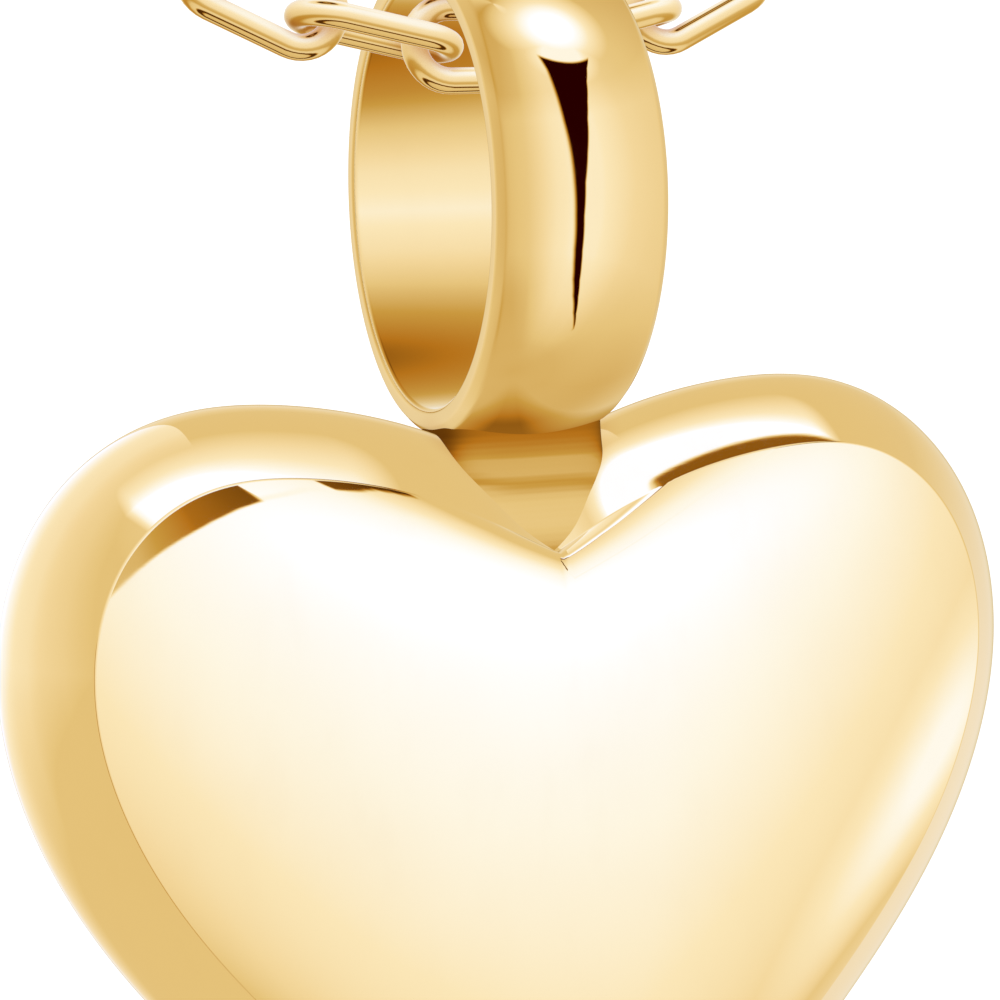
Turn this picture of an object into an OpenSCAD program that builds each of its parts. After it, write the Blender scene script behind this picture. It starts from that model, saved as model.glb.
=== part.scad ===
// Keepsake urn pendant on its chain: a hollow heart with a wide bail ring, a back plug,
// and a whole necklace of oval links closed by a plain clasp. The origin is the middle
// of the clasp at the top of the loop, X runs left to right, Y front to back, Z up.

/* [Heart] */
// Width of the heart over the bulge of its side band
heart_w = 18.6; // [14:0.1:26]
// Depth of the side band between the two face edges
band_t = 3.7; // [3.2:0.1:7]
// How far the side band bulges outward at its middle
band_bulge = 1.25; // [0.5:0.05:1.4]
// How softly the band's middle is rounded, as a share of half its depth
band_round = 0.45; // [0.2:0.05:1]
// Rise of each face over its edge
face_dome = 0.95; // [0.4:0.05:1.5]
// Thickness of the metal round the chamber
wall_t = 0.8; // [0.6:0.05:1]

/* [Bail] */
// Radius of the ring's hole
hole_r = 3.65; // [3.2:0.05:5]
// Width of the ring from side to side
ring_w = 3; // [2.2:0.1:4]
// Thickness of the ring at its two rims
rim_t = 0.4; // [0.35:0.05:0.8]
// How far the rounded outer band rises over the rims
crown_rise = 0.3; // [0.2:0.05:0.6]
// Height of the ring's centre over the heart's notch
ring_rise = 6.2; // [5.8:0.05:7]

/* [Neck] */
// Width of the neck under the ring
neck_w = 2.9; // [2:0.1:2.95]
// Depth of the neck from front to back
neck_t = 2.4; // [2:0.1:3.4]
// How far the neck's foot spreads on every side
neck_flare = 0.5; // [0.2:0.05:0.9]

/* [Plug] */
// Radius of the filling bore
bore_r = 1.5; // [1.2:0.05:2]
// Extra radius of the plug's head over its shank
head_step = 0.6; // [0.4:0.05:0.9]
// Thickness of the plug's head
head_t = 0.45; // [0.35:0.05:0.6]
// Gap between the plug and the metal round it
plug_gap = 0.06; // [0.04:0.01:0.1]

/* [Chain] */
// Length of the necklace
chain_len = 450; // [400:5:500]
// Thickness of the link wire
wire_d = 0.46; // [0.38:0.01:0.48]
// Length of a link
link_l = 3.2; // [3.1:0.05:3.5]
// Width of a link
link_w = 1.73; // [1.7:0.01:1.85]
// Turn of each of the two joints beside the bail
bail_turn = 13; // [8:1:14]
// Gap between the top of the hole and the link inside it
hang_gap = 0.14; // [0.12:0.01:0.2]

/* [Clasp] */
// Length of the clasp between the two chain ends, to within a link
clasp_l = 9; // [7:0.5:12]
// Radius of the clasp's barrel
barrel_r = 1.25; // [1.1:0.05:1.5]

/* [Hidden] */
// True curves are drawn with this many sides
$fn = 48;

// Links: the middle line of a link's end lies this far inside the next link's end
wire_r = wire_d / 2;
bend_r = (link_w - wire_d) / 2;
link_gap = bend_r - wire_d;
pitch = link_l - 2 * wire_d - link_gap;
overlap = (wire_d + link_gap) / 2;

// Loop: one joint turns on each side of the bail link, then a straight rise, then an arc
rise_a = 2 * bail_turn;
half_links = round(chain_len / pitch / 2);
arc_links = round(half_links * 0.81);
arc_turn = (180 - rise_a) / arc_links;
arc_x = chain_sum(arc_links, 0);
near_x = pitch * (0.5 + cos(bail_turn));
rise_links = max(1, round((clasp_l / 2 - near_x - arc_x) / (pitch * cos(rise_a))));
last_link = 1 + rise_links + arc_links;
clasp_x = near_x + rise_links * pitch * cos(rise_a) + arc_x;
bail_z = -(pitch * sin(bail_turn) + rise_links * pitch * sin(rise_a) + chain_sum(arc_links, 1));

// Pendant: the ring hangs with its hole's top just over the bail link
ring_z = bail_z - (hole_r - link_w / 2 - hang_gap);
notch_z = ring_z - ring_rise;
crown_r = hole_r + rim_t + crown_rise;
crown_arc = (pow(ring_w / 2, 2) + crown_rise * crown_rise) / (2 * crown_rise);
ring_edge = rim_t * 0.22;

// Outline of a face edge, right half from the notch to the tip
// columns: x and z, both as shares of the edge's half width, measured from the notch
edge_share = [
    [0, 0], [0.27, 0.15], [0.61, 0.21], [0.82, 0.17], [0.98, 0],
    [1.02, -0.29], [0.9, -0.62], [0.67, -0.92], [0.36, -1.23], [0, -1.55]
];
edge_half = heart_w / 2 - band_bulge;
mid_z = -0.55 * edge_half;
round_r = 0.85 * edge_half;
edge_steps = 6;
chamber_steps = 3;

// Share of the way from a face's middle to its edge, for each ring of points
face_t = [1, 0.965, 0.92, 0.86, 0.78, 0.68, 0.55, 0.38, 0.2];
chamber_t = [1, 0.85, 0.62, 0.34];
band_steps = 10;

// Chamber: the outline made smaller about a point low in the heart
chamber_k = 1 - wall_t / (0.75 * edge_half);
chamber_z = -0.75 * edge_half;

// Plug: it sits in the middle of the back face
plug_z = mid_z;
back_y = band_t / 2 + face_dome;
head_y = back_y - 0.08;
chamber_y = back_y - wall_t;
boss_r = bore_r + head_step + 0.7;
boss_y = chamber_y - 0.9;

function chain_sum(n, axis) = pitch * sum([for (j = [1:n]) axis == 0
    ? cos(rise_a + j * arc_turn) : sin(rise_a + j * arc_turn)]);
function sum(v) = v * [for (i = v) 1];

// Heading of link k, counted from the bail link
function heading(k) = k == 0 ? 0 : k == 1 ? bail_turn
    : k <= 1 + rise_links ? rise_a : rise_a + (k - 1 - rise_links) * arc_turn;
// Joint at the near end of link k
function joint(k) = k == 0 ? [-pitch / 2, bail_z]
    : [pitch / 2 + pitch * sum([for (j = [0:k - 1]) j == 0 ? 0 : cos(heading(j))]),
       bail_z + pitch * sum([for (j = [0:k - 1]) sin(heading(j))])];

// Points of a smooth curve that a row of control points pulls along
function knot(p, i, u) = (pow(1 - u, 3) * p[i] + (3 * pow(u, 3) - 6 * u * u + 4) * p[i + 1]
    + (-3 * pow(u, 3) + 3 * u * u + 3 * u + 1) * p[i + 2] + pow(u, 3) * p[i + 3]) / 6;
function half_edge(steps) =
    let (c = edge_share, n = len(c),
         p = concat([2 * c[0] - c[1]], c, [[-c[n - 2][0], c[n - 2][1]]]))
    concat([for (i = [0:n - 2], j = [0:steps - 1]) knot(p, i, j / steps) * edge_half],
           [knot(p, n - 2, 1) * edge_half]);
// Outward directions along such a half outline
function half_normal(h) = [for (i = [0:len(h) - 1])
    i == 0 ? [0, 1] : i == len(h) - 1 ? [0, -1]
    : let (d = h[i + 1] - h[i - 1]) [-d[1], d[0]] / norm(d)];
// A closed ring of points at depth y from its right half
function whole(h, y) = concat(
    [for (p = h) [p[0], y, p[1]]],
    [for (i = [len(h) - 2:-1:1]) [-h[i][0], y, h[i][1]]]);
// Half outline pushed outward by b, held back beside the notch so that the halves never cross
function pushed(h, b) =
    let (n = half_normal(h))
    [for (i = [0:len(h) - 1])
        let (near = h[i][1] > mid_z ? min(1, h[i][0] / (1.6 * band_bulge)) : 1,
             share = near * (2 - near))
        [h[i][0] + n[i][0] * b * share, h[i][1] + n[i][1] * b * (0.5 + share / 2)]];
// Half outline drawn in to share t, rounder towards the middle
function drawn_in(h, t) = [for (p = h)
    let (v = p - [0, mid_z], k = 1 - t * t)
    [0, mid_z] + t * ((1 - k) * v + k * round_r * v / norm(v))];
// Rise of a face at share t
function dome(t) = face_dome * (0.8 * (1 - t * t) + 0.2 * (1 - pow(t, 8)));
// Share of the band's bulge at share f of the way from its middle to an edge
function band_form(f) = let (c = band_round)
    1 - (sqrt(f * f + c * c) - c) / (sqrt(1 + c * c) - c);

// A solid through rings of equal count, closed by a point before and after them
module skin(rings, first, last) {
    n = len(rings[0]);
    m = len(rings);
    points = concat([for (r = rings) each r], [first, last]);
    faces = concat(
        [for (i = [0:m - 2], j = [0:n - 1])
            [i * n + j, (i + 1) * n + (j + 1) % n, i * n + (j + 1) % n]],
        [for (i = [0:m - 2], j = [0:n - 1])
            [i * n + j, (i + 1) * n + j, (i + 1) * n + (j + 1) % n]],
        [for (j = [0:n - 1]) [m * n, j, (j + 1) % n]],
        [for (j = [0:n - 1]) [m * n + 1, (m - 1) * n + (j + 1) % n, (m - 1) * n + j]]);
    polyhedron(points = points, faces = faces);
}

module heart_form() {
    h = half_edge(edge_steps);
    front = [for (i = [len(face_t) - 1:-1:0])
        whole(drawn_in(h, face_t[i]), -band_t / 2 - dome(face_t[i]))];
    band = [for (i = [1:band_steps - 1])
        let (f = -1 + 2 * i / band_steps)
        whole(pushed(h, band_bulge * band_form(f)), f * band_t / 2)];
    back = [for (t = face_t) whole(drawn_in(h, t), band_t / 2 + dome(t))];
    skin(concat(front, band, back),
         [0, -band_t / 2 - dome(0), mid_z], [0, band_t / 2 + dome(0), mid_z]);
}

module chamber() {
    h = [for (p = half_edge(chamber_steps)) [0, chamber_z] + chamber_k * (p - [0, chamber_z])];
    depth = band_t / 2 - wall_t;
    front = [for (i = [len(chamber_t) - 1:-1:0])
        whole(drawn_in(h, chamber_t[i]), -depth - dome(chamber_t[i]))];
    back = [for (t = chamber_t) whole(drawn_in(h, t), depth + dome(t))];
    skin(concat(front, back), [0, -depth - dome(0), mid_z], [0, depth + dome(0), mid_z]);
}

// A round bar along Y between two depths
module bar(r, y0, y1) {
    translate([0, y0, plug_z]) rotate([-90, 0, 0]) cylinder(r = r, h = y1 - y0);
}

module bail_ring() {
    half = ring_w / 2;
    rim_r = hole_r + rim_t;
    translate([0, 0, ring_z]) rotate([0, 90, 0]) rotate_extrude()
    intersection() {
        translate([crown_r - crown_arc, 0]) circle(r = crown_arc);
        polygon([
            [hole_r, -half + ring_edge], [hole_r + ring_edge, -half],
            [rim_r - ring_edge, -half], [rim_r + ring_edge, -half + 1.5 * ring_edge],
            [crown_r + 1, -half + 2 * ring_edge], [crown_r + 1, half - 2 * ring_edge],
            [rim_r + ring_edge, half - 1.5 * ring_edge], [rim_r - ring_edge, half],
            [hole_r + ring_edge, half], [hole_r, half - ring_edge]
        ]);
    }
}

// Level outline of the neck: a soft rectangle
function neck_ring(hx, hy, z) = [for (a = [0:9:351])
    let (c = cos(a), s = sin(a), r = pow(pow(abs(c), 4) + pow(abs(s), 4), -0.25))
    [hx * r * c, hy * r * s, z]];

module neck() {
    top = ring_z - hole_r - rim_t * 0.55 - notch_z;
    foot = -0.25;
    // columns: share of the way down, share of the flare
    path = [[0, 0], [0.2, 0], [0.35, 0.06], [0.48, 0.2], [0.6, 0.45], [0.7, 0.75], [0.82, 1.05], [1, 1.3]];
    rings = [for (i = [len(path) - 1:-1:0])
        let (p = path[i])
        neck_ring(neck_w / 2 + neck_flare * p[1], neck_t / 2 + neck_flare * p[1],
                  top + (foot - top) * p[0])];
    translate([0, 0, notch_z]) skin(rings, [0, 0, foot], [0, 0, top]);
}

module urn_body() {
    color("gold") {
        difference() {
            union() {
                translate([0, 0, notch_z]) difference() {
                    heart_form();
                    chamber();
                }
                translate([0, 0, notch_z]) bar(boss_r, boss_y, back_y - wall_t / 2);
                neck();
            }
            translate([0, 0, notch_z]) bar(bore_r, boss_y - 1, back_y + 1);
            translate([0, 0, notch_z]) bar(bore_r + head_step, head_y - head_t, back_y + 1);
            translate([0, 0, ring_z]) rotate([0, 90, 0])
                cylinder(r = hole_r + ring_edge, h = ring_w, center = true);
        }
        bail_ring();
    }
}

module fill_screw() {
    color("goldenrod") translate([0, 0, notch_z]) {
        bar(bore_r - plug_gap, boss_y, head_y - head_t + plug_gap * 2);
        bar(bore_r + head_step - plug_gap, head_y - head_t + plug_gap, head_y);
    }
}

// Half of a ring of wire, open towards -X
module wire_end() {
    rotate([90, 0, 0]) rotate([0, 0, -90])
        rotate_extrude(angle = 180) translate([bend_r, 0]) circle(r = wire_r);
}

// One oval link along X, flat in the XZ plane
module link() {
    straight = link_l - link_w;
    for (s = [-1, 1]) {
        translate([-straight / 2, 0, s * bend_r]) rotate([0, 90, 0])
            cylinder(r = wire_r, h = straight);
    }
    translate([straight / 2, 0, 0]) wire_end();
    mirror([1, 0, 0]) translate([straight / 2, 0, 0]) wire_end();
}

module place_link(k) {
    near = joint(k);
    a = heading(k);
    translate([near[0] + pitch / 2 * cos(a), 0, near[1] + pitch / 2 * sin(a)])
        rotate([0, -a, 0]) rotate([90 * (k % 2), 0, 0]) link();
}

module chain_right() {
    color("khaki") for (k = [0:last_link]) place_link(k);
}

module chain_left() {
    color("khaki") mirror([1, 0, 0]) for (k = [1:last_link]) place_link(k);
}

module clasp() {
    eye_x = clasp_x + overlap - bend_r;
    barrel_x = clasp_x - overlap - wire_r - link_gap - 0.1;
    tilt = 90 * ((last_link + 1) % 2);
    end_r = bend_r + wire_r + 0.15;
    slope = 0.4;
    color("gold") {
        rotate([0, 90, 0]) rotate_extrude() polygon([
            [0, -barrel_x], [end_r, -barrel_x], [barrel_r, slope - barrel_x],
            [barrel_r, barrel_x - slope], [end_r, barrel_x], [0, barrel_x]
        ]);
        for (s = [0, 1]) mirror([s, 0, 0]) rotate([tilt, 0, 0]) {
            translate([eye_x, 0, 0]) wire_end();
            for (t = [-1, 1]) translate([barrel_x - slope, 0, t * bend_r]) rotate([0, 90, 0])
                cylinder(r = wire_r, h = eye_x - barrel_x + slope);
        }
    }
}

urn_body();
fill_screw();
chain_right();
chain_left();
clasp();
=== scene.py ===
"""Looks of the keepsake urn pendant and its necklace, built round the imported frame.

The heart case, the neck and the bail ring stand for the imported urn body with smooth, dense
surfaces made from the same sizes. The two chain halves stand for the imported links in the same
way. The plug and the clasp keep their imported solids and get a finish.
"""

import logging
import math
from dataclasses import dataclass
from enum import Enum
from typing import Any, Callable, Optional, Sequence, Union

import bmesh
import bpy
import numpy as np
from mathutils import Matrix, Vector


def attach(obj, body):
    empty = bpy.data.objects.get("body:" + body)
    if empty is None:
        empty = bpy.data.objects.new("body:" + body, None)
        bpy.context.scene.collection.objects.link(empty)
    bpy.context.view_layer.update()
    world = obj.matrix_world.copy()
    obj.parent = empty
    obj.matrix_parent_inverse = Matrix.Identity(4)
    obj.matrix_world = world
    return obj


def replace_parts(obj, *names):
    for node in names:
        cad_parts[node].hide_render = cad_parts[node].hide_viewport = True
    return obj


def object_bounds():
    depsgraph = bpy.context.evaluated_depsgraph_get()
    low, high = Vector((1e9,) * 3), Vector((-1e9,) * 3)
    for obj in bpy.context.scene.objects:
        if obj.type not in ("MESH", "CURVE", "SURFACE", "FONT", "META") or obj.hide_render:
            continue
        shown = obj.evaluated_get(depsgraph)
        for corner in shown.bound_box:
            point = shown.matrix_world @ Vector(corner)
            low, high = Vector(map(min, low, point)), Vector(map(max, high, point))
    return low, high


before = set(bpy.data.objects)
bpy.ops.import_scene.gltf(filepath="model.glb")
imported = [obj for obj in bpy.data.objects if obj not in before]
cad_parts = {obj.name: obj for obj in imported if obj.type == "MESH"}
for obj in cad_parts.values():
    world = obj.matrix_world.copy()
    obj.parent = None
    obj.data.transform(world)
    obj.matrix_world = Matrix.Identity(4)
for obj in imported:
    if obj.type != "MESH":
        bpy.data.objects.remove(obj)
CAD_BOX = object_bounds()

LOG = logging.getLogger("urn_pendant")
MM = 0.001


class Body(Enum):
    """The two bodies that the pieces ride on."""

    NECKLACE = "necklace"
    PENDANT = "pendant"


class Slot(Enum):
    """The record's material slots."""

    CASE = "polished_gold"
    PLUG = "plug_gold"
    CHAIN = "chain_gold"


# ---------- meshes


class Surface:
    """Points and faces of one piece, in millimetres, on their way to a mesh object."""

    def __init__(self) -> None:
        """Starts empty."""
        self.rows: list[np.ndarray] = []
        self.faces: list[tuple[int, ...]] = []
        self.count = 0

    def add(self, points: np.ndarray) -> int:
        """Adds points.

        Args:
            points: Rows of x, y and z in millimetres.

        Returns:
            The index of the first point added.
        """
        first = self.count
        self.rows.append(np.asarray(points, float).reshape(-1, 3))
        self.count += len(self.rows[-1])
        return first

    def loft(
        self,
        rings: Sequence[np.ndarray],
        first_point: Optional[Sequence[float]] = None,
        last_point: Optional[Sequence[float]] = None,
        wrap: bool = False,
    ) -> None:
        """Joins closed rings of equal count with four-sided faces.

        Args:
            rings: The rings in order, each with the same number of points.
            first_point: A point that closes the first ring, if it is closed.
            last_point: A point that closes the last ring, if it is closed.
            wrap: Whether the last ring joins the first one.
        """
        n = len(rings[0])
        start = self.add(np.concatenate(rings))
        steps = len(rings) if wrap else len(rings) - 1
        for i in range(steps):
            a, b = start + i * n, start + (i + 1) % len(rings) * n
            self.faces += [(a + j, a + (j + 1) % n, b + (j + 1) % n, b + j) for j in range(n)]
        for point, base in ((first_point, start), (last_point, start + (len(rings) - 1) * n)):
            if point is not None:
                tip = self.add(np.array([point]))
                self.faces += [(tip, base + j, base + (j + 1) % n) for j in range(n)]

    def piece(self, name: str, body: Body, slot: Slot, material: bpy.types.Material) -> bpy.types.Object:
        """Makes the mesh object, with outward faces and smooth shading.

        Args:
            name: The piece's name.
            body: The body that it rides on.
            slot: The record's material slot; not used.
            material: Its finish.

        Returns:
            The mesh object, riding on its body.
        """
        mesh = bpy.data.meshes.new(name)
        mesh.from_pydata(np.concatenate(self.rows) * MM, [], self.faces)
        work = bmesh.new()
        work.from_mesh(mesh)
        bmesh.ops.recalc_face_normals(work, faces=work.faces)
        work.to_mesh(mesh)
        work.free()
        mesh.polygons.foreach_set("use_smooth", [True] * len(mesh.polygons))
        mesh.materials.append(material)
        made = bpy.data.objects.new(name, mesh)
        bpy.context.scene.collection.objects.link(made)
        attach(made, body.value)
        LOG.info("%s: %d faces on %s", name, len(mesh.polygons), body.value)
        return made


def unit(vector: np.ndarray) -> np.ndarray:
    """Returns the vector at length one."""
    return vector / np.linalg.norm(vector)


def filleted(corners: Sequence[tuple[float, float]], radii: Sequence[float], steps: int = 6) -> np.ndarray:
    """Rounds the corners of a closed flat outline.

    Args:
        corners: The outline's corners in order.
        radii: Each corner's rounding, as the length cut from both of its sides, or 0 for none.
        steps: How many short sides each rounding gets.

    Returns:
        The rounded outline's points, as rows of two numbers.
    """
    points = np.array(corners, float)
    out = []
    for i, (corner, radius) in enumerate(zip(points, radii)):
        if radius == 0:
            out.append(corner)
            continue
        before, after = points[i - 1] - corner, points[(i + 1) % len(points)] - corner
        a = corner + unit(before) * radius
        b = corner + unit(after) * radius
        for u in np.linspace(0, 1, steps + 1):
            out.append((1 - u) ** 2 * a + 2 * u * (1 - u) * corner + u * u * b)
    return np.array(out)


# ---------- shader graphs

Feed = Union["Signal", float, Sequence[float]]


class Signal:
    """A node's output that takes part in maths: every operator adds one Math node."""

    def __init__(self, graph: "Graph", socket: bpy.types.NodeSocket) -> None:
        """Wraps the socket.

        Args:
            graph: The graph that the socket's node stands in.
            socket: The output socket.
        """
        self.graph = graph
        self.socket = socket

    def math(self, operation: str, *others: Feed) -> "Signal":
        """Adds a Math node with this value first.

        Args:
            operation: The Math node's operation.
            others: Its other inputs.

        Returns:
            The node's value.
        """
        values = dict(enumerate((self, *others)))
        return self.graph.node("ShaderNodeMath", {"operation": operation}, values)

    def __add__(self, other: Feed) -> "Signal":
        """Returns self + other."""
        return self.math("ADD", other)

    __radd__ = __add__

    def __mul__(self, other: Feed) -> "Signal":
        """Returns self * other."""
        return self.math("MULTIPLY", other)

    __rmul__ = __mul__

    def __sub__(self, other: Feed) -> "Signal":
        """Returns self - other."""
        return self.math("SUBTRACT", other)

    def __rsub__(self, other: float) -> "Signal":
        """Returns other - self."""
        return (self * -1.0) + other

    def __truediv__(self, other: Feed) -> "Signal":
        """Returns self / other."""
        return self.math("DIVIDE", other)

    def size(self) -> "Signal":
        """Returns the value without its sign."""
        return self.math("ABSOLUTE")

    def above(self, low: float, high: float) -> "Signal":
        """Returns a soft step from 0 at low to 1 at high."""
        return self.graph.node(
            "ShaderNodeMapRange",
            {"interpolation_type": "SMOOTHSTEP", "clamp": True},
            {"Value": self, "From Min": low, "From Max": high, "To Min": 0.0, "To Max": 1.0},
        )


class Graph:
    """A node tree that is filled by one method."""

    def __init__(self, tree: bpy.types.NodeTree) -> None:
        """Empties the tree.

        Args:
            tree: The material's or world's node tree.
        """
        self.tree = tree
        tree.nodes.clear()

    def node(
        self,
        kind: str,
        settings: Optional[dict[str, Any]] = None,
        inputs: Optional[dict[Union[str, int], Any]] = None,
        out: Union[str, int] = 0,
    ) -> Signal:
        """Adds one node.

        Args:
            kind: The node's type.
            settings: Its properties, set first. The key stops fills a ramp.
            inputs: Values or links of its sockets, by name or number.
            out: Which output to return.

        Returns:
            The chosen output.
        """
        made = self.tree.nodes.new(kind)
        for key, value in (settings or {}).items():
            if key == "stops":
                self._fill_ramp(made.color_ramp, value)
            else:
                setattr(made, key, value)
        for key, value in (inputs or {}).items():
            target = made.inputs[key]
            if isinstance(value, Signal):
                self.tree.links.new(value.socket, target)
            else:
                target.default_value = value
        return Signal(self, made.outputs[out]) if len(made.outputs) else Signal(self, None)

    @staticmethod
    def _fill_ramp(ramp: bpy.types.ColorRamp, stops: Sequence[tuple[float, Sequence[float]]]) -> None:
        """Sets a ramp's stops.

        Args:
            ramp: The ramp, with its two first stops.
            stops: Places with their colours of three numbers.
        """
        while len(ramp.elements) < len(stops):
            ramp.elements.new(0.5)
        for element, (place, colour) in zip(ramp.elements, stops):
            element.position = place
            element.color = (*colour, 1.0)

    def blend(self, share: Feed, first: Any, second: Any) -> Signal:
        """Mixes two colours.

        Args:
            share: 0 gives the first colour and 1 the second.
            first: A colour or a link.
            second: A colour or a link.

        Returns:
            The mixed colour.
        """
        pair = [c if isinstance(c, Signal) else (*c, 1.0) for c in (first, second)]
        return self.node("ShaderNodeMix", {"data_type": "RGBA"}, {0: share, 6: pair[0], 7: pair[1]}, out=2)

    def along(self, direction: Signal, axis: Vector) -> Signal:
        """Returns how far a direction goes along an axis."""
        pair = {0: direction, 1: tuple(axis)}
        return self.node("ShaderNodeVectorMath", {"operation": "DOT_PRODUCT"}, pair, out="Value")

    def table(self, value: Signal, rows: Sequence[Sequence[float]]) -> list[Signal]:
        """Looks a value up in a table, straight from row to row.

        Args:
            value: Where to look.
            rows: Rows of a place and one to three numbers, by rising place.

        Returns:
            One value for each column of numbers.
        """
        first, reach = rows[0][0], rows[-1][0] - rows[0][0]
        least = min(min(row[1:]) for row in rows)
        stops = [
            ((row[0] - first) / reach, ([n - least for n in row[1:]] + [0.0, 0.0])[:3]) for row in rows
        ]
        share = (value - first) / reach
        ramp = self.node("ShaderNodeValToRGB", {"stops": stops}, {"Fac": share}, out="Color")
        axes = ((1, 0, 0), (0, 1, 0), (0, 0, 1))[: len(rows[0]) - 1]
        return [self.along(ramp, Vector(axis)) + least for axis in axes]

    def noise(
        self, place: Signal, scale: float, detail: float = 3.0, stretch: Sequence[float] = (1, 1, 1)
    ) -> Signal:
        """Adds a noise field.

        Args:
            place: Coordinates in metres.
            scale: Features to the millimetre.
            detail: How many finer layers it has.
            stretch: Factors on the three coordinates.

        Returns:
            Values about 0.5.
        """
        scaled = tuple(s / MM for s in stretch)
        at = self.node("ShaderNodeVectorMath", {"operation": "MULTIPLY"}, {0: place, 1: scaled})
        return self.node("ShaderNodeTexNoise", {}, {"Vector": at, "Scale": scale, "Detail": detail})


# ---------- finishes


@dataclass(frozen=True)
class GoldFinish:
    """Yellow gold plating, with soft smudges, hairlines of polishing and painted shade that darkens the
    recesses.
    """

    name: str
    tint: tuple[float, float, float] = (0.96, 0.70, 0.32)
    # The deep colour is part of the random warm tone and also the painted shade in recesses.
    deep: tuple[float, float, float] = (0.80, 0.46, 0.13)
    roughness: float = 0.02
    smudge: float = 0.02
    hairline: float = 0.012
    recess_mm: float = 0.5
    recess_shade_share: float = 0.55
    cloud_scale: float = 0.35
    smear_scale: float = 1.6
    stroke_scale: float = 14.0
    warm_share: float = 0.3
    stroke_rough: float = 0.01
    recess_rough: float = 0.05
    relief_mm: float = 0.01

    def material(self) -> bpy.types.Material:
        """Builds the finish.

        Returns:
            The material with its nodes.
        """
        made = bpy.data.materials.new(self.name)
        made.use_nodes = True
        g = Graph(made.node_tree)
        place = g.node("ShaderNodeTexCoord", out="Object")
        clouds = g.noise(place, self.cloud_scale, 2.0)
        smears = g.noise(place, self.smear_scale, 5.0, stretch=(1, 1, 0.45)).above(0.48, 0.75)
        strokes = g.noise(place, self.stroke_scale, 2.0, stretch=(0.12, 1, 1))
        # How enclosed each point is, by ambient occlusion; it roughens the recesses and paints shade into
        # them.
        hollow = 1.0 - g.node(
            "ShaderNodeAmbientOcclusion", {"samples": 6}, {"Distance": self.recess_mm * MM}, out="AO"
        )
        shift = (clouds - 0.5) * 0.35 + smears * 0.05
        warm = tuple(0.6 * t + 0.4 * d for t, d in zip(self.tint, self.deep))
        colour = g.blend(shift.above(-0.1, 0.25) * self.warm_share, self.tint, warm)
        # Painted shade: in recesses the colour turns toward the deep colour.
        colour = g.blend(hollow.above(0.1, 0.75) * self.recess_shade_share, colour, self.deep)
        rough = smears * self.smudge + (strokes - 0.5) * self.stroke_rough
        rough = rough + hollow * self.recess_rough + self.roughness
        height = strokes * self.hairline + clouds * 0.3
        relief = {"Strength": 0.35, "Distance": self.relief_mm * MM, "Height": height}
        bump = g.node("ShaderNodeBump", {}, relief)
        shader = g.node(
            "ShaderNodeBsdfPrincipled",
            {},
            {"Base Color": colour, "Metallic": 1.0, "Roughness": rough, "Normal": bump},
        )
        g.node("ShaderNodeOutputMaterial", {}, {"Surface": shader})
        return made


# ---------- the necklace


@dataclass(frozen=True)
class Loop:
    """The line of the necklace: one link inside the bail, a straight rise, then an arc."""

    chain_len: float = 450.0
    wire_d: float = 0.46
    link_l: float = 3.2
    link_w: float = 1.73
    bail_turn: float = 13.0
    clasp_l: float = 9.0
    arc_share: float = 0.81

    @property
    def bend_r(self) -> float:
        """Radius of a link's end, to the middle of the wire."""
        return (self.link_w - self.wire_d) / 2

    @property
    def pitch(self) -> float:
        """Distance from joint to joint."""
        return self.link_l - self.wire_d - self.bend_r

    @property
    def arc_links(self) -> int:
        """Links of one arc."""
        return round(round(self.chain_len / self.pitch / 2) * self.arc_share)

    @property
    def rise_links(self) -> int:
        """Links of one straight rise."""
        near = self.pitch * (0.5 + math.cos(math.radians(self.bail_turn)))
        step = self.pitch * math.cos(math.radians(2 * self.bail_turn))
        return max(1, round((self.clasp_l / 2 - near - self._arc_sum(math.cos)) / step))

    @property
    def last_link(self) -> int:
        """Number of the link beside the clasp, counted from the bail link."""
        return 1 + self.rise_links + self.arc_links

    @property
    def bail_z(self) -> float:
        """Height of the bail link's middle line."""
        first = self.pitch * math.sin(math.radians(self.bail_turn))
        rise = self.rise_links * self.pitch * math.sin(math.radians(2 * self.bail_turn))
        return -(first + rise + self._arc_sum(math.sin))

    def _arc_sum(self, part: Any) -> float:
        """Returns the arc's reach along one axis."""
        turn = (180 - 2 * self.bail_turn) / self.arc_links
        angles = [2 * self.bail_turn + j * turn for j in range(1, self.arc_links + 1)]
        return self.pitch * sum(part(math.radians(a)) for a in angles)

    def heading(self, k: int) -> float:
        """Returns link k's heading in degrees."""
        if k < 2:
            return k * self.bail_turn
        past = max(0, k - 1 - self.rise_links)
        return 2 * self.bail_turn + past * (180 - 2 * self.bail_turn) / self.arc_links

    def middles(self) -> list[tuple[float, float]]:
        """Returns the middle of every link, as x and z."""
        x, z = -self.pitch / 2, self.bail_z
        out = []
        for k in range(self.last_link + 1):
            a = math.radians(self.heading(k))
            dx, dz = self.pitch * math.cos(a), self.pitch * math.sin(a)
            out.append((x + dx / 2, z + dz / 2))
            x, z = x + dx, z + dz
        return out


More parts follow.
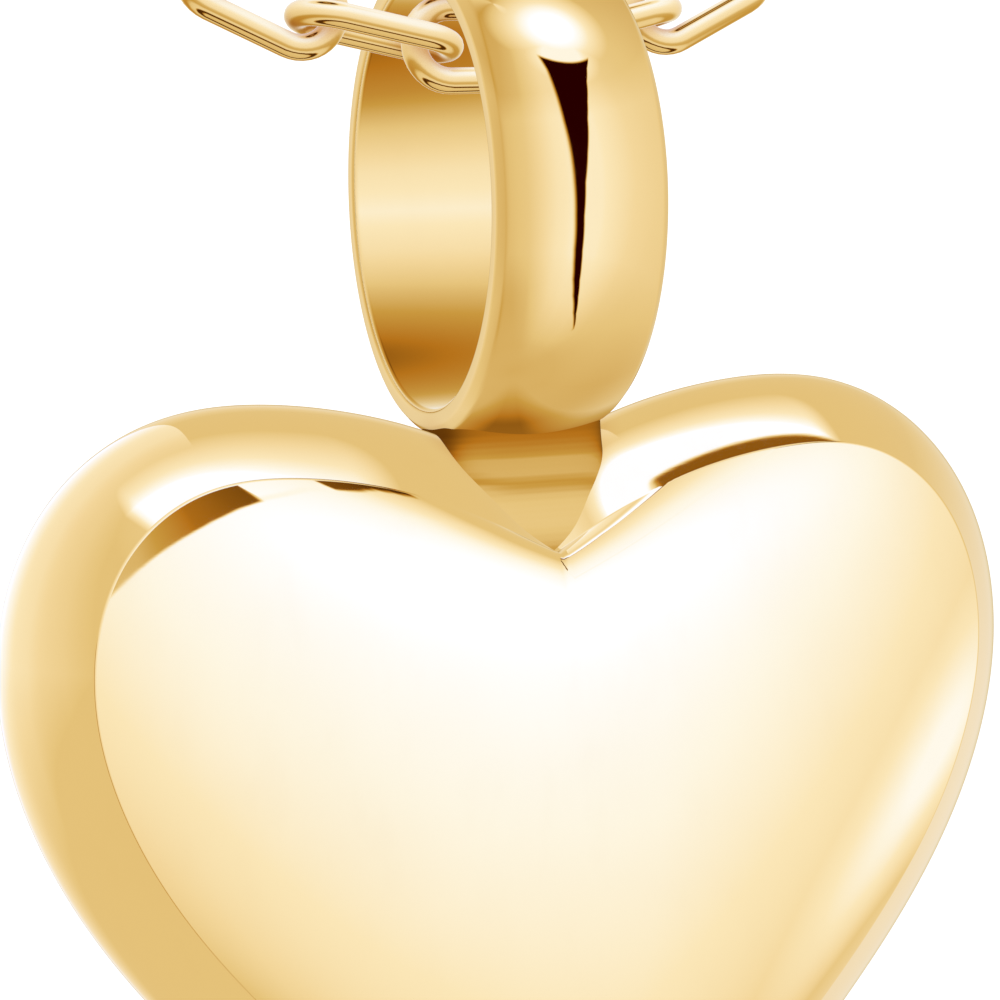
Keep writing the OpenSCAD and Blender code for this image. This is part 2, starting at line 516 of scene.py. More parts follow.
@dataclass
class ChainHalf:
    """One half of the chain: oval links of round wire, each turned a quarter to the next."""

    loop: Loop
    name: str
    node: str
    side: int
    first: int
    near_links: int = 9
    near_detail: tuple[int, int] = (24, 20)
    far_detail: tuple[int, int] = (12, 14)

    def link(self, sides: int, bend_steps: int) -> list[np.ndarray]:
        """Makes one link flat in the XZ plane.

        Args:
            sides: Points round the wire.
            bend_steps: Rings along each rounded end.

        Returns:
            The rings of points round the wire, in order.
        """
        straight = (self.loop.link_l - self.loop.link_w) / 2
        line = []
        for end in (0, 1):
            for a in np.linspace(-math.pi / 2, math.pi / 2, bend_steps + 1) + end * math.pi:
                out = np.array([math.cos(a), 0, math.sin(a)])
                centre = np.array([straight * (1 - 2 * end), 0, 0])
                line.append((centre + out * self.loop.bend_r, out))
        around = np.linspace(0, 2 * math.pi, sides, endpoint=False)
        depth = np.array([0, 1, 0])
        wire = self.loop.wire_d / 2
        return [
            middle + wire * (np.outer(np.cos(around), out) + np.outer(np.sin(around), depth))
            for middle, out in line
        ]

    def build(self, material: bpy.types.Material) -> bpy.types.Object:
        """Builds this half as one joined mesh.

        Args:
            material: The chain's finish.

        Returns:
            The piece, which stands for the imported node.
        """
        surface = Surface()
        near, far = self.link(*self.near_detail), self.link(*self.far_detail)
        for k, (x, z) in enumerate(self.loop.middles()):
            if k < self.first:
                continue
            a = -math.radians(self.loop.heading(k))
            turn = Matrix.Rotation(a, 3, "Y") @ Matrix.Rotation(math.radians(90 * (k % 2)), 3, "X")
            rings = near if k < self.near_links else far
            moved = [ring @ np.array(turn).T + (x, 0, z) for ring in rings]
            surface.loft([ring * (self.side, 1, 1) for ring in moved], wrap=True)
        made = surface.piece(self.name, Body.NECKLACE, Slot.CHAIN, material)
        made.visible_glossy = False
        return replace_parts(made, self.node)


# ---------- the pendant


@dataclass
class BailRing:
    """The wide ring over the neck: a domed outer band between two flat rims."""

    ring_z: float
    hole_r: float = 3.65
    width: float = 3.0
    rim_t: float = 0.4
    crown_rise: float = 0.3
    edge: float = 0.088
    around: int = 360
    crown_steps: int = 48
    skin: float = 0.06

    def outside(self) -> np.ndarray:
        """Returns the section of the outer band and the rims: rows of radius and place on the axis."""
        half, rim_r = self.width / 2, self.hole_r + self.rim_t
        crown_arc = (half**2 + self.crown_rise**2) / (2 * self.crown_rise)
        middle = rim_r + self.crown_rise - crown_arc
        reach = half - 1.5 * self.edge
        crown = [
            (middle + math.sqrt(crown_arc**2 - v * v), v)
            for v in np.linspace(-reach, reach, self.crown_steps)
        ]
        e, inner = self.edge, self.hole_r + self.skin
        corners = [(inner, half - e / 2), (inner, e / 2 - half)]
        corners += [(self.hole_r + e, -half), (rim_r - e, -half)]
        corners += crown + [(rim_r - e, half), (self.hole_r + e, half)]
        radii = [0.0, 0.0] + [0.4 * e] * 3 + [0.0] * (self.crown_steps - 2) + [0.4 * e] * 3
        return filleted(corners, radii, 3)

    def inside(self) -> np.ndarray:
        """Returns the section of the skin inside the hole, with a small chamfer at both ends."""
        half, e, r = self.width / 2, self.edge, self.hole_r
        outer = r + self.skin
        corners = [(outer, half - e / 2), (r, half - e), (r, e - half), (outer, e / 2 - half)]
        return filleted(corners, [0.0, 0.4 * e, 0.4 * e, 0.0], 3)

    def turned(self, name: str, section: np.ndarray, material: bpy.types.Material) -> bpy.types.Object:
        """Turns a section round the X axis.

        Args:
            name: The piece's name.
            section: Rows of radius and place along the axis.
            material: The piece's finish.

        Returns:
            The piece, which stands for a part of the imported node.
        """
        radius, along = section.T
        rings = [
            np.stack([along, radius * math.cos(a), self.ring_z + radius * math.sin(a)], 1)
            for a in np.linspace(0, 2 * math.pi, self.around, endpoint=False)
        ]
        surface = Surface()
        surface.loft(rings, wrap=True)
        made = surface.piece(name, Body.PENDANT, Slot.CASE, material)
        made.visible_glossy = False
        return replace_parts(made, "urn_body")

    def build(self, band: bpy.types.Material, bore: bpy.types.Material) -> list[bpy.types.Object]:
        """Builds the ring as two skins, because it is finished in two ways.

        Args:
            band: The finish of the outer band and the rims.
            bore: The finish inside the hole.

        Returns:
            The outer and the inner skin.
        """
        return [
            self.turned("bail_ring", self.outside(), band),
            self.turned("bail_bore", self.inside(), bore),
        ]


@dataclass
class Neck:
    """The soldered saddle between the ring and the notch, a soft rectangle that flares at its foot."""

    notch_z: float
    top: float
    width: float = 2.9
    depth: float = 2.4
    flare: float = 0.5
    foot: float = -0.25
    around: int = 200
    rows: int = 96

    PATH = ((0, 0), (0.2, 0), (0.35, 0.06), (0.48, 0.2), (0.6, 0.45), (0.7, 0.75), (0.82, 1.05), (1, 1.3))

    def flare_at(self, share: float) -> float:
        """Returns the flare's share at a share of the way down."""
        places, flares = zip(*self.PATH)
        return float(np.interp(share, places, flares))

    def ring(self, share: float) -> np.ndarray:
        """Returns the level outline at a share of the way down."""
        a = np.linspace(0, 2 * math.pi, self.around, endpoint=False)
        c, s = np.cos(a), np.sin(a)
        r = (np.abs(c) ** 4 + np.abs(s) ** 4) ** -0.25
        soft = np.mean([self.flare_at(min(1, max(0, share + d))) for d in (-0.08, -0.04, 0, 0.04, 0.08)])
        hx, hy = self.width / 2 + self.flare * soft, self.depth / 2 + self.flare * soft
        z = self.notch_z + self.top + (self.foot - self.top) * share
        return np.stack([hx * r * c, hy * r * s, np.full(self.around, z)], 1)

    def build(self, material: bpy.types.Material) -> bpy.types.Object:
        """Lofts the neck.

        Args:
            material: The case's finish.

        Returns:
            The piece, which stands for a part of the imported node.
        """
        surface = Surface()
        rings = [self.ring(s) for s in np.linspace(0, 1, self.rows)]
        surface.loft(rings, (0, 0, self.notch_z + self.top), (0, 0, self.notch_z + self.foot))
        made = surface.piece("neck", Body.PENDANT, Slot.CASE, material)
        made.visible_glossy = False
        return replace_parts(made, "urn_body")


@dataclass
class HeartCase:
    """The hollow heart: a domed face on each side, a bulged side band and the filling bore."""

    notch_z: float
    width: float = 18.6
    band_t: float = 3.7
    band_bulge: float = 1.25
    band_round: float = 0.45
    face_dome: float = 0.95
    wall_t: float = 0.8
    bore_r: float = 1.5
    head_step: float = 0.6
    head_t: float = 0.45
    lip: float = 0.08
    boss_wall: float = 0.7
    boss_depth: float = 0.9
    chamber_middle: float = 1.0
    span_steps: int = 20

    EDGE = (
        (0, 0), (0.27, 0.15), (0.61, 0.21), (0.82, 0.17), (0.98, 0),
        (1.02, -0.29), (0.9, -0.62), (0.67, -0.92), (0.36, -1.23), (0, -1.55),
    )

    def __post_init__(self) -> None:
        """Works out the sizes that follow from the fields."""
        self.edge_half = self.width / 2 - self.band_bulge
        self.mid_z = -0.55 * self.edge_half
        self.round_r = 0.85 * self.edge_half
        self.chamber_k = 1 - self.wall_t / (0.75 * self.edge_half)
        self.chamber_z = -0.75 * self.edge_half

    def half_edge(self) -> np.ndarray:
        """Returns the right half of a face's edge, from the notch to the tip."""
        c = np.array(self.EDGE, float)
        pulls = np.concatenate([[2 * c[0] - c[1]], c, [c[-2] * (-1, 1)]])
        out = []
        for i in range(len(c) - 1):
            for u in np.arange(self.span_steps) / self.span_steps:
                out.append(self._knot(pulls[i : i + 4], u))
        out.append(self._knot(pulls[len(c) - 2 : len(c) + 2], 1.0))
        return np.array(out) * self.edge_half

    @staticmethod
    def _knot(p: np.ndarray, u: float) -> np.ndarray:
        """Returns a point of the smooth curve that four control points pull along."""
        weights = ((1 - u) ** 3, 3 * u**3 - 6 * u * u + 4, -3 * u**3 + 3 * u * u + 3 * u + 1, u**3)
        return sum(w * q for w, q in zip(weights, p)) / 6

    @staticmethod
    def whole(half: np.ndarray, y: float) -> np.ndarray:
        """Closes a half outline to a ring of points at one depth."""
        both = np.concatenate([half, half[-2:0:-1] * (-1, 1)])
        return np.stack([both[:, 0], np.full(len(both), y), both[:, 1]], 1)

    def pushed(self, half: np.ndarray, out: float) -> np.ndarray:
        """Pushes a half outline outward, held back beside the notch.

        Args:
            half: The half outline.
            out: How far it goes.

        Returns:
            The pushed half outline.
        """
        step = np.zeros_like(half)
        step[1:-1] = half[2:] - half[:-2]
        normal = np.stack([-step[:, 1], step[:, 0]], 1)
        normal[0], normal[-1] = (0, 1), (0, -1)
        normal /= np.linalg.norm(normal, axis=1)[:, None]
        near = np.where(half[:, 1] > self.mid_z, np.minimum(1, half[:, 0] / (1.6 * self.band_bulge)), 1)
        held = near * (2 - near)
        return half + normal * out * np.stack([held, 0.5 + held / 2], 1)

    def drawn_in(self, half: np.ndarray, share: float, middle: Optional[float] = None) -> np.ndarray:
        """Draws a half outline in towards the face's middle, rounder on the way.

        Args:
            half: The half outline.
            share: Share of the way from the middle to the edge.
            middle: Height of the middle, if it isn't the face's own.

        Returns:
            The drawn-in half outline.
        """
        centre = np.array([0, self.mid_z if middle is None else middle])
        v = half - centre
        k = 1 - share * share
        return centre + share * ((1 - k) * v + k * self.round_r * v / np.linalg.norm(v, axis=1)[:, None])

    def dome(self, share: float) -> float:
        """Returns a face's rise at a share of the way to its edge."""
        return self.face_dome * (0.8 * (1 - share**2) + 0.2 * (1 - share**8))

    def band_form(self, f: float) -> float:
        """Returns the share of the band's bulge at a share of the way to its edge."""
        c = self.band_round
        return 1 - (math.sqrt(f * f + c * c) - c) / (math.sqrt(1 + c * c) - c)

    def circle(self, half: np.ndarray, radius: float, y: float) -> np.ndarray:
        """Returns a round ring in the face's middle, its points in line with the outline's."""
        v = half - (0, self.mid_z)
        flat = np.array([0, self.mid_z]) + radius * v / np.linalg.norm(v, axis=1)[:, None]
        return self.whole(flat, y)

    def outer_rings(self, half: np.ndarray) -> list[np.ndarray]:
        """Returns the rings of the outside, from the front's middle to the recess at the back."""
        shares = np.concatenate([np.linspace(0.04, 0.9, 30), np.linspace(0.915, 0.99, 8), [0.9975, 1.0]])
        levels = np.concatenate([[-0.988], np.linspace(-0.96, 0.96, 39), [0.988]])
        depth = self.band_t / 2
        front = [self.whole(self.drawn_in(half, s), -depth - self.dome(s)) for s in shares]
        band = [
            self.whole(self.pushed(half, self.band_bulge * self.band_form(f)), f * depth) for f in levels
        ]
        head_r = self.bore_r + self.head_step
        inner = (head_r + self.lip) / self.round_r
        kept = [s for s in shares[::-1] if s > inner + 0.03]
        back = [self.whole(self.drawn_in(half, s), depth + self.dome(s)) for s in kept]
        lip_y = depth + self.dome(inner)
        return front + band + back + [
            self.circle(half, head_r + self.lip, lip_y),
            self.circle(half, head_r + 0.03, lip_y - 0.01),
            self.circle(half, head_r, lip_y - 0.05),
        ]

    def inner_rings(self, half: np.ndarray) -> list[np.ndarray]:
        """Returns the rings of the recess, the bore and the chamber, ending at the chamber's front."""
        back_y = self.band_t / 2 + self.face_dome
        floor_y = back_y - self.lip - self.head_t
        boss_y = back_y - self.wall_t - self.boss_depth
        boss_r = self.bore_r + self.head_step + self.boss_wall
        depth = self.band_t / 2 - self.wall_t
        small = (0, self.chamber_z) + self.chamber_k * (half - (0, self.chamber_z))
        shares = np.linspace(1, 0.5, 8)
        rings = [
            self.circle(half, self.bore_r + self.head_step, floor_y),
            self.circle(half, self.bore_r, floor_y),
            self.circle(half, self.bore_r, boss_y),
            self.circle(half, boss_r, boss_y),
            self.circle(half, boss_r, depth + self.dome(0.45)),
        ]
        rings += [self.whole(self.drawn_in(small, s), depth + self.dome(s)) for s in shares[::-1]]
        rings += [self.whole(self.drawn_in(small, s), -depth - self.dome(s)) for s in shares]
        return rings + [self.circle(half, self.chamber_middle, -depth - self.dome(0.15))]

    def build(self, material: bpy.types.Material) -> bpy.types.Object:
        """Lofts the outside, the bore and the chamber as one closed surface.

        Args:
            material: The case's finish.

        Returns:
            The piece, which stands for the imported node.
        """
        half = self.half_edge()
        depth = self.band_t / 2
        surface = Surface()
        rings = self.outer_rings(half) + self.inner_rings(half)
        for ring in rings:
            ring[:, 2] += self.notch_z
        middle = self.notch_z + self.mid_z
        surface.loft(
            rings,
            (0, -depth - self.dome(0), middle),
            (0, self.wall_t - depth - self.dome(0), middle),
        )
        made = surface.piece("heart_case", Body.PENDANT, Slot.CASE, material)
        made.visible_glossy = False
        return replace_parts(made, "urn_body")


@dataclass
class KeptSolid:
    """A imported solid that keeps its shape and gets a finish."""

    node: str
    slot: Slot

    def dress(self, material: bpy.types.Material) -> bpy.types.Object:
        """Gives the solid its finish.

        Args:
            material: The finish.

        Returns:
            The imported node's object.
        """
        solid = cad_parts[self.node]
        solid.data.materials.clear()
        solid.data.materials.append(material)
        solid.visible_glossy = False
        LOG.info("%s: packed solid with %s", self.node, material.name)
        return solid


# ---------- the studio


def toward(azimuth: float, elevation: float) -> Vector:
    """Returns the direction at an azimuth and elevation in degrees; azimuth 0 is the front."""
    a, e = math.radians(azimuth), math.radians(elevation)
    return Vector((math.sin(a) * math.cos(e), -math.cos(a) * math.cos(e), math.sin(e)))


# The light's colour at each tone, from deep shade to the middle of a soft panel
TONES = (
    (0.0, (0.02, 0.0, 0.0)),
    (0.15, (0.49, 0.24, 0.03)),
    (0.3, (0.62, 0.46, 0.16)),
    (0.45, (0.83, 0.79, 0.63)),
    (0.6, (0.94, 0.97, 1.03)),
    (0.75, (1.01, 1.14, 1.5)),
    (0.87, (1.04, 1.33, 2.4)),
    (1.0, (1.06, 1.45, 3.2)),
)


class Sky:
    """The direction in which a tent's light is seen from the pendant, as values of its graph."""

    def __init__(self, g: Graph, direction: Signal) -> None:
        """Works out the height, the azimuth and the elevation, the angles in degrees.

        Args:
            g: The light's graph.
            direction: The direction looked in.
        """
        self.g, self.direction = g, direction
        x, y, self.height = (g.along(direction, Vector(axis)) for axis in ((1, 0, 0), (0, -1, 0), (0, 0, 1)))
        self.azimuth = x.math("ARCTAN2", y) * (180 / math.pi)
        self.elevation = self.height.math("ARCSINE") * (180 / math.pi)

    def along(self, azimuth: float, elevation: float = 0.0) -> Signal:
        """Returns how far the direction goes toward an azimuth and elevation."""
        return self.g.along(self.direction, toward(azimuth, elevation))

    def toned(self, tone: Signal) -> Signal:
        """Returns the light's colour at a tone."""
        return self.g.node("ShaderNodeValToRGB", {"stops": TONES}, {"Fac": tone}, out="Color")


@dataclass(frozen=True)
class Glow:
    """A soft light far off in one direction, even in its core and falling off around it."""

    azimuth: float
    elevation: float
    tone: float
    fall: float
    core: float = 0.0

    def tone_at(self, sky: Sky) -> Signal:
        """Returns the light's tone, which may be below 0 far from the core."""
        angle = sky.along(self.azimuth, self.elevation).math("ARCCOSINE") * (180 / math.pi)
        return self.tone - (angle - self.core).math("MAXIMUM", 0.0) * self.fall


@dataclass(frozen=True)
class Window:
    """A range of one value with soft ends."""

    opens: tuple[float, float]
    closes: tuple[float, float]

    def mask(self, value: Signal) -> Signal:
        """Returns 1 inside the range and 0 outside it."""
        return value.above(*self.opens) * (1.0 - value.above(*self.closes))


@dataclass(frozen=True)
class HeartGleam:
    """What the heart mirrors: a wide glow in front, dimmer sides, a ridge above and dark edges."""

    front: Glow = Glow(20, 18, 1.02, 0.0075, 8)
    right_from: float = 28.0
    right_fall: float = 0.004
    streak: Glow = Glow(62, -16, 0.9, 0.019, 3)
    aside: Glow = Glow(118, -20, 0.58, 0.004, 10)
    rear: Glow = Glow(161.5, -2.6, 1.0, 0.045, 8)
    rear_shade: float = 0.6
    least: float = 0.44
    low_shade: float = 0.45
    back_azimuth: float = -170.0
    back_right: tuple[float, float] = (20.0, 110.0)
    back_right_shade: float = 0.3
    ridge_azimuth: float = 187.0
    ridge_tone: float = 1.03
    ridge_fall: float = 1.35
    ridge_rise: tuple[float, float] = (48.0, 62.0)
    ridge_front: tuple[float, float] = (-0.2, -0.13)
    strip_slope: float = 0.2
    strip_place: float = -0.113
    strip_soft: float = 0.006
    strip_front: tuple[float, float] = (-0.15, -0.133)
    strip_left: tuple[float, float] = (-0.06, 0.0)
    strip_rise: tuple[float, float] = (0.8, 0.85)
    strip_shade: float = 0.92
    crescent_span: Window = Window((-16.0, -13.0), (74.0, 80.0))
    crescent_low: tuple[float, float] = (-0.35, 0.35)
    crescent_top: tuple[float, float] = (-0.5, 0.5)
    slit_span: Window = Window((-63.0, -60.0), (-53.0, -50.0))
    slit_rise: Window = Window((-65.0, -55.0), (4.0, 12.0))
    slit_shade: float = 0.6

    # The tone behind the pendant, by how far the direction goes to the back
    BACK = ((0, 0.42), (0.09, 0.53), (0.2, 0.6), (0.3, 0.68), (0.5, 0.73), (0.75, 0.84), (1, 0.9))
    # The dark crescent between the front and the ridge, in rows of azimuth, elevation of its lower
    # edge, thickness and tone; it is pale and thin where the face would mirror it
    CRESCENT = (
        (-40, -19, 8, 0.42), (-14, 5.7, 8, 0.42), (-8, 11.5, 7.1, 0.38), (0, 19.2, 6, 0.13),
        (7, 26.2, 5.7, 0.08), (12, 30.8, 4.8, 0.06), (13, 31.6, 1, 0.88), (24, 40.3, 1, 0.88),
        (31, 44.4, 1.2, 0.88), (32, 45, 3, 0.06), (37.5, 47.4, 3, 0.05), (43.8, 50, 3, 0.04),
        (50, 51.9, 3, 0.03), (59, 53.4, 3, 0.03), (69, 54.1, 3, 0.02), (80, 54.2, 3, 0.02),
    )

    def open_light(self, sky: Sky) -> Signal:
        """Returns the tone of the glows in front, aside and behind.

        Args:
            sky: The direction looked in.

        Returns:
            The tone.
        """
        fall = (sky.azimuth - self.right_from).math("MAXIMUM", 0.0) * self.right_fall
        tone = self.front.tone_at(sky) - fall
        for glow in (self.streak, self.aside):
            tone = tone.math("MAXIMUM", glow.tone_at(sky))
        under = (sky.height * -1.0).math("MAXIMUM", 0.0)
        behind = sky.g.table(sky.along(self.back_azimuth), self.BACK)[0] - under * self.low_shade
        behind = behind - sky.azimuth.above(*self.back_right) * self.back_right_shade
        shadow = self.rear.tone_at(sky).math("MAXIMUM", 0.0) * self.rear_shade
        return tone.math("MAXIMUM", behind).math("MAXIMUM", self.least) * (1.0 - shadow)

    def overhead(self, sky: Sky) -> tuple[Signal, Signal]:
        """Returns the ridge of light above and the dark strip beside it.

        Args:
            sky: The direction looked in.

        Returns:
            The ridge's tone, and up to 1 in the strip.
        """
        back, right = sky.along(self.ridge_azimuth), sky.along(self.ridge_azimuth - 90)
        ridge = self.ridge_tone - back.math("MAXIMUM", 0.0).math("SQRT") * self.ridge_fall
        ridge = ridge * sky.elevation.above(*self.ridge_rise) * back.above(*self.ridge_front)
        strip = (right * self.strip_slope + self.strip_place - back).above(-self.strip_soft, self.strip_soft)
        strip = strip * back.above(*self.strip_front) * right.above(*self.strip_left)
        return ridge, strip * sky.height.above(*self.strip_rise)

    def crescent(self, sky: Sky) -> tuple[Signal, Signal]:
        """Returns where the dark crescent is seen, and its tone.

        Args:
            sky: The direction looked in.

        Returns:
            Up to 1 in the crescent, and the tone.
        """
        low, thick, shade = sky.g.table(sky.azimuth, self.CRESCENT)
        over = sky.elevation - low
        inside = over.above(*self.crescent_low) * (1.0 - (over - thick).above(*self.crescent_top))
        return inside * self.crescent_span.mask(sky.azimuth), shade

    def tone_at(self, sky: Sky) -> Signal:
        """Returns the heart's tone in a direction.

        Args:
            sky: The direction looked in.

        Returns:
            The tone.
        """
        ridge, strip = self.overhead(sky)
        tone = self.open_light(sky).math("MAXIMUM", ridge) * (1.0 - strip * self.strip_shade)
        crescent, shade = self.crescent(sky)
        tone = tone + (shade - tone) * crescent
        slit = self.slit_span.mask(sky.azimuth) * self.slit_rise.mask(sky.elevation)
        return tone * (1.0 - slit * self.slit_shade)


@dataclass(frozen=True)
class RingGleam:
    """What the bail ring mirrors: an even glow in front, a bright disc above and a dark wedge."""

    glow: Glow = Glow(28, 54, 0.86, 0.04, 8)
    disc: Glow = Glow(44, 67, 1.0, 0.04, 8)
    disc_reach: float = 17.6
    disc_soft: float = 0.03
    below: float = 0.6
    below_rise: tuple[float, float] = (-86.0, -45.0)
    wedge_rise: Window = Window((-63.0, -59.0), (57.0, 60.0))
    wedge_left: tuple[float, float] = (-2.0, 1.0)
    wedge_right: tuple[float, float] = (-0.6, 0.6)

    # The tone all round by azimuth, and its factor by elevation
    AROUND = (
        (-180, 0.4), (-150, 0.55), (-60, 0.36), (-20, 0.42), (-10, 0.48), (5, 0.72), (14, 0.78), (28, 0.77),
        (47, 0.6), (60, 0.55), (120, 0.42), (142, 0.42), (157, 0.1), (166, 0.1), (180, 0.4),
    )
    HEIGHT = ((-90, 0.6), (-75, 0.65), (-50, 0.85), (-30, 1), (28, 1), (40, 0.85), (90, 0.85))
    # The wedge's left and right edge in degrees at each elevation, from its point upward
    WEDGE = (
        (-61, 40, 41), (-55, 30.5, 33), (-48, 23.5, 27.5), (-41, 19.3, 23.8), (-34, 17, 21.8),
        (-28, 15.7, 20.4), (-14, 14.3, 18.9), (0, 13.6, 19.3), (12, 13.2, 21.8), (26, 12.4, 25.8),
        (33, 12.4, 29.2), (41, 12.6, 34.5), (46, 12.8, 40), (50, 13, 47), (57, 12, 62),
    )

    def wedge(self, sky: Sky) -> Signal:
        """Returns where the dark wedge is seen.

        Args:
            sky: The direction looked in.

        Returns:
            1 in the wedge and 0 beside it.
        """
        left, right = (sky.azimuth - edge for edge in sky.g.table(sky.elevation, self.WEDGE))
        inside = left.above(*self.wedge_left) * (1.0 - right.above(*self.wedge_right))
        return inside * self.wedge_rise.mask(sky.elevation)

    def tone_at(self, sky: Sky) -> Signal:
        """Returns the ring's tone in a direction.

        Args:
            sky: The direction looked in.

        Returns:
            The tone.
        """
        around = sky.g.table(sky.azimuth, self.AROUND)[0] - self.below
        around = around * sky.elevation.above(*self.below_rise) + self.below
        even = around * sky.g.table(sky.elevation, self.HEIGHT)[0]
        disc = self.disc.tone_at(sky)
        reach = self.disc.tone - (self.disc_reach - self.disc.core) * self.disc.fall
        outside = 1.0 - (disc - reach).above(-self.disc_soft, self.disc_soft)
        dark = self.wedge(sky) * outside
        return even.math("MAXIMUM", self.glow.tone_at(sky)).math("MAXIMUM", disc) * (1.0 - dark)


@dataclass(frozen=True)
class Bands:
    """Soft bands of tone one above the other, as from walls, a table and a ceiling."""

    tones: tuple[tuple[float, float], ...]
    azimuth: float = 19.0
    fall: float = 0.0
    least: float = 0.02

    def tone_at(self, sky: Sky) -> Signal:
        """Returns the tone in a direction.

        Args:
            sky: The direction looked in.

        Returns:
            The tone.
        """
        aside = sky.along(self.azimuth) - 1.0
        tone = sky.g.table(sky.elevation, self.tones)[0]
        return (tone + aside * self.fall).math("MAXIMUM", self.least)


@dataclass
class LightTent:
    """Six wide soft panels all round that light only some of the pieces, as a small tent would."""

    name: str
    pieces: Sequence[bpy.types.Object]
    tone: Callable[[Sky], Signal]
    centre_z: float
    half: float = 30.0

    SIDES = ((0, 0), (90, 0), (180, 0), (270, 0), (0, 90), (0, -90))

    def panel(self) -> bpy.types.Light:
        """Returns the light that all six panels share, toned by the direction from the pendant."""
        data = bpy.data.lights.new(self.name, "AREA")
        data.shape, data.size = "SQUARE", 2 * self.half
        data.energy = math.pi * data.size**2
        data.use_nodes = True
        g = Graph(data.node_tree)
        place = g.node("ShaderNodeNewGeometry", out="Position")
        centre = (0, 0, self.centre_z * MM)
        ray = g.node("ShaderNodeVectorMath", {"operation": "SUBTRACT"}, {0: place, 1: centre})
        sky = Sky(g, g.node("ShaderNodeVectorMath", {"operation": "NORMALIZE"}, {0: ray}))
        colour = sky.toned(self.tone(sky))
        light = g.node("ShaderNodeEmission", {}, {"Color": colour, "Strength": 1.0})
        g.node("ShaderNodeOutputLight", {}, {"Surface": light})
        return data

    def build(self) -> None:
        """Adds the six panels round the pendant, and links them to the pieces that they light."""
        data = self.panel()
        group = bpy.data.collections.new(self.name)
        for piece in self.pieces:
            group.objects.link(piece)
        for azimuth, elevation in self.SIDES:
            axis = toward(azimuth, elevation)
            light = bpy.data.objects.new(f"{self.name}_{azimuth}_{elevation % 360}", data)
            bpy.context.scene.collection.objects.link(light)
            light.location = Vector((0, 0, self.centre_z * MM)) + axis * self.half
            light.rotation_mode = "QUATERNION"
            light.rotation_quaternion = (-axis).to_track_quat("-Z", "Y")
            light.visible_camera = False
            light.light_linking.receiver_collection = group


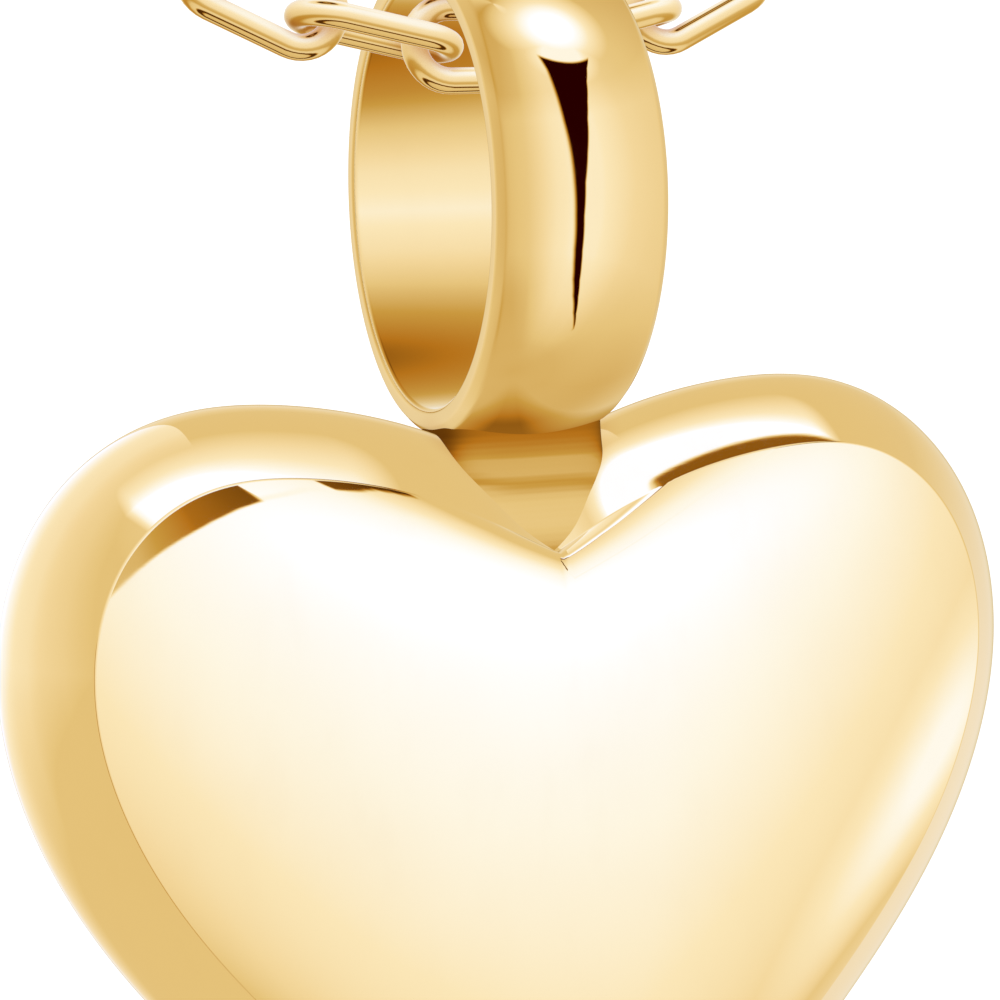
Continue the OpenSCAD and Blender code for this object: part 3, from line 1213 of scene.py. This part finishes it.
@dataclass
class Studio:
    """The pale floor, the soft light and the camera."""

    notch_z: float
    tip_z: float
    floor_drop: float = 45.0
    floor_half: float = 3000.0
    floor_rough: float = 0.9
    white: float = 1.2
    view_turn: float = 18.5
    view_down: float = 2.6
    roll: float = 3.4
    distance: float = 45.9
    lens: float = 95.04
    sensor: float = 36.0
    shift: tuple[float, float] = (0.076, 0.017)
    target: tuple[float, float, float] = (-1.7, 0.0, 0.68)

    BORE = Bands(
        (
            (-90, 0.2), (-62, 0.3), (-41, 0.5), (-19, 0.7), (2, 0.8), (24, 0.67), (46, 0.45), (80, 0.2),
            (90, 0.2),
        ),
        fall=0.12,
    )
    NECK = Bands(
        (
            (-90, 0.1), (-30, 0.12), (-10, 0.14), (-2, 0.12), (1.5, 0.17), (4, 0.24),
            (6.5, 0.3), (9, 0.36), (16, 0.38), (26, 0.28), (34, 0.42), (60, 0.55), (90, 0.55),
        ),
        fall=0.05,
    )
    CHAIN = Bands(
        (
            (-90, 0.5), (-68, 0.5), (-64, 0.02), (-58, 0.02), (-54, 0.6), (-44, 0.55), (-35, 0.35),
            (-22, 0.38), (-10, 0.62), (15, 0.72), (40, 0.88), (60, 0.95), (74, 0.7), (78, 0.1), (83, 0.1),
            (90, 0.5),
        ),
        fall=0.08,
    )

    def floor(self) -> None:
        """Builds the pale floor under the pendant."""
        mesh = bpy.data.meshes.new("floor")
        h, z = self.floor_half * MM, (self.tip_z - self.floor_drop) * MM
        mesh.from_pydata([(-h, -h, z), (h, -h, z), (h, h, z), (-h, h, z)], [], [(0, 1, 2, 3)])
        made = bpy.data.objects.new("floor", mesh)
        bpy.context.scene.collection.objects.link(made)
        made.visible_glossy = False
        material = bpy.data.materials.new("pale_floor")
        material.use_nodes = True
        g = Graph(material.node_tree)
        place = g.node("ShaderNodeTexCoord", out="Object")
        tone = g.blend(g.noise(place, 0.02), (0.93, 0.93, 0.93), (0.9, 0.9, 0.9))
        matt = {"Base Color": tone, "Roughness": self.floor_rough, "Specular IOR Level": 0.0}
        shader = g.node("ShaderNodeBsdfPrincipled", {}, matt)
        g.node("ShaderNodeOutputMaterial", {}, {"Surface": shader})
        mesh.materials.append(material)

    def light(self, tents: dict[str, Sequence[bpy.types.Object]]) -> None:
        """Builds the soft light: plain white to look at, with tents that only the metal mirrors.

        Args:
            tents: The pieces in each tent, by the tent's name.
        """
        tones = {
            "case_tent": HeartGleam().tone_at,
            "ring_tent": RingGleam().tone_at,
            "bore_tent": self.BORE.tone_at,
            "neck_tent": self.NECK.tone_at,
            "chain_tent": self.CHAIN.tone_at,
        }
        for name, pieces in tents.items():
            LightTent(name, pieces, tones[name], self.notch_z).build()
        world = bpy.data.worlds.new("studio")
        bpy.context.scene.world = world
        world.use_nodes = True
        g = Graph(world.node_tree)
        mirrored = g.node("ShaderNodeLightPath", out="Is Glossy Ray")
        colour = {"Color": (1, 1, 1, 1), "Strength": (1.0 - mirrored) * self.white}
        g.node("ShaderNodeOutputWorld", {}, {"Surface": g.node("ShaderNodeBackground", {}, colour)})
        bpy.context.scene.view_settings.view_transform = "Standard"

    def camera(self) -> None:
        """Sets the camera close in front of the pendant, a little to its left and above it."""
        turn, down = math.radians(self.view_turn), math.radians(self.view_down)
        ahead = Vector((math.sin(turn) * math.cos(down), math.cos(turn) * math.cos(down), -math.sin(down)))
        data = bpy.data.cameras.new("camera")
        data.lens, data.sensor_width = self.lens, self.sensor
        data.shift_x, data.shift_y = self.shift
        data.clip_start, data.clip_end = 1 * MM, 20.0
        made = bpy.data.objects.new("camera", data)
        bpy.context.scene.collection.objects.link(made)
        x, y, z = self.target
        made.location = (Vector((x, y, self.notch_z + z)) - ahead * self.distance) * MM
        facing = ahead.to_track_quat("-Z", "Y")
        made.rotation_mode = "QUATERNION"
        leaning = Matrix.Rotation(math.radians(-self.roll), 3, "Z").to_quaternion()
        made.rotation_quaternion = facing @ leaning
        bpy.context.scene.camera = made


@dataclass
class Pendant:
    """The pendant and its necklace, in the order that they are built."""

    loop: Loop
    hang_gap: float = 0.14
    ring_rise: float = 6.2
    hole_r: float = 3.65
    rim_t: float = 0.4
    sunk_share: float = 0.55

    def __post_init__(self) -> None:
        """Works out where the ring and the notch stand."""
        self.ring_z = self.loop.bail_z - (self.hole_r - self.loop.link_w / 2 - self.hang_gap)
        self.notch_z = self.ring_z - self.ring_rise

    def build(self) -> list[bpy.types.Object]:
        """Builds and dresses every piece.

        Returns:
            The pieces.
        """
        case = GoldFinish("case_gold").material()
        # The wire's deep maroon colour and high share paint dark shade into the joints between links.
        wire = GoldFinish(
            "wire_gold",
            deep=(0.62, 0.26, 0.06),
            roughness=0.07,
            smudge=0.03,
            recess_mm=0.6,
            recess_shade_share=0.95,
        ).material()
        turned = GoldFinish("turned_gold", roughness=0.12, hairline=0.05).material()
        bore = GoldFinish("bore_gold", roughness=0.06, recess_shade_share=0.3).material()
        top = self.ring_rise - self.hole_r - self.rim_t * self.sunk_share
        return [
            HeartCase(self.notch_z).build(case),
            Neck(self.notch_z, top).build(case),
            *BailRing(self.ring_z, self.hole_r, rim_t=self.rim_t).build(case, bore),
            KeptSolid("fill_screw", Slot.PLUG).dress(turned),
            ChainHalf(self.loop, "links_right", "chain_right", 1, 0).build(wire),
            ChainHalf(self.loop, "links_left", "chain_left", -1, 1).build(wire),
            KeptSolid("clasp", Slot.CHAIN).dress(wire),
        ]


def main() -> None:
    """Builds the pendant, its necklace and the studio."""
    logging.basicConfig(level=logging.INFO, format="%(message)s")
    pendant = Pendant(Loop())
    pieces = pendant.build()
    studio = Studio(pendant.notch_z, CAD_BOX[0].z / MM)
    studio.floor()
    tents = {
        "ring_tent": ["bail_ring"],
        "bore_tent": ["bail_bore"],
        "neck_tent": ["neck"],
        "chain_tent": ["links_right", "links_left", "clasp"],
        "case_tent": ["heart_case", "fill_screw"],
    }
    studio.light({tent: [p for p in pieces if p.name in names] for tent, names in tents.items()})
    studio.camera()
    LOG.info("%d pieces built", len(pieces))


if __name__ == "__main__":
    main()
